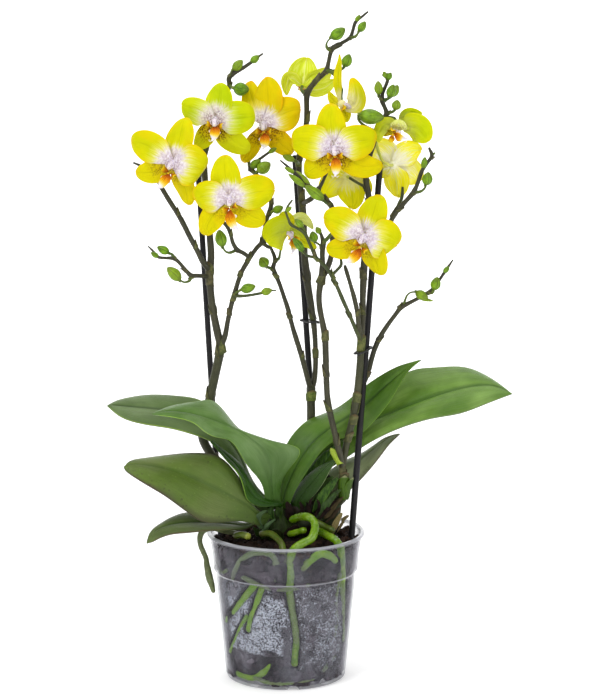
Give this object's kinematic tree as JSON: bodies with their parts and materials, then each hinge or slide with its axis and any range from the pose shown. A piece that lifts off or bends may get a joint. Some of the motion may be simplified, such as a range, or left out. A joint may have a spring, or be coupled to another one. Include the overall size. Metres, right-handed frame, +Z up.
{
  "type": "potted orchid",
  "caption": "Flowering orchid with branched spikes, buds, yellow flowers and strap leaves, staked, in bark in a clear plastic pot.",
  "frame": {"origin": "centre of the flat underside of the pot", "axes": "+Z up along the pot axis, -Y towards the side with the flowers facing out, +X to the right seen from there"},
  "size_m": [0.3088, 0.1228, 0.511],
  "materials": {
    "clear_plastic": "gloss",
    "bark": "matte",
    "crown_tissue": "matte",
    "dark_stick": "satin",
    "clip_wire": "satin",
    "stem_and_buds": "satin",
    "petal_yellow": "satin",
    "petal_green_yellow": "satin",
    "petal_golden": "satin",
    "petal_pale_green": "satin",
    "lip": "satin",
    "leaf": "satin",
    "leaf_speckled": "satin",
    "leaf_bright": "satin",
    "root_green": "satin",
    "root_pale": "matte"
  },
  "bodies": {
    "root": {"bark_substrate": "bark", "clip_middle": "clip_wire", "clip_right": "clip_wire", "crown": "crown_tissue", "flower_1": "petal_yellow", "flower_10": "petal_green_yellow", "flower_11": "petal_green_yellow", "flower_12": "petal_pale_green", "flower_2": "petal_green_yellow", "flower_3": "petal_golden", "flower_4": "petal_yellow", "flower_5": "petal_yellow", "flower_6": "petal_yellow", "flower_7": "petal_pale_green", "flower_8": "petal_yellow", "flower_9": "petal_yellow", "leaf_far_right": "leaf", "leaf_folded_left": "leaf", "leaf_inner_right": "leaf_bright", "leaf_large_left": "leaf", "leaf_lower_right": "leaf_speckled", "leaf_narrow_left": "leaf_speckled", "leaf_small_left": "leaf", "leaf_upper_left": "leaf", "leaf_upright_right": "leaf", "lip_1": "lip", "lip_10": "lip", "lip_11": "lip", "lip_12": "lip", "lip_2": "lip", "lip_3": "lip", "lip_4": "lip", "lip_5": "lip", "lip_6": "lip", "lip_7": "lip", "lip_8": "lip", "lip_9": "lip", "pot": "clear_plastic", "root_back": "root_green", "root_hanging": "root_green", "root_hook": "root_green", "root_inner": "root_green", "root_stub": "root_green", "root_surface_left": "root_green", "root_surface_right": "root_green", "root_wall_arch": "root_pale", "root_wall_base": "root_pale", "root_wall_left_a": "root_pale", "root_wall_left_b": "root_pale", "root_wall_left_c": "root_pale", "root_wall_loop": "root_pale", "spike_left": "stem_and_buds", "spike_middle": "stem_and_buds", "spike_right": "stem_and_buds", "stake_left": "dark_stick", "stake_middle": "dark_stick", "stake_right": "dark_stick"}
  },
  "joints": []
}
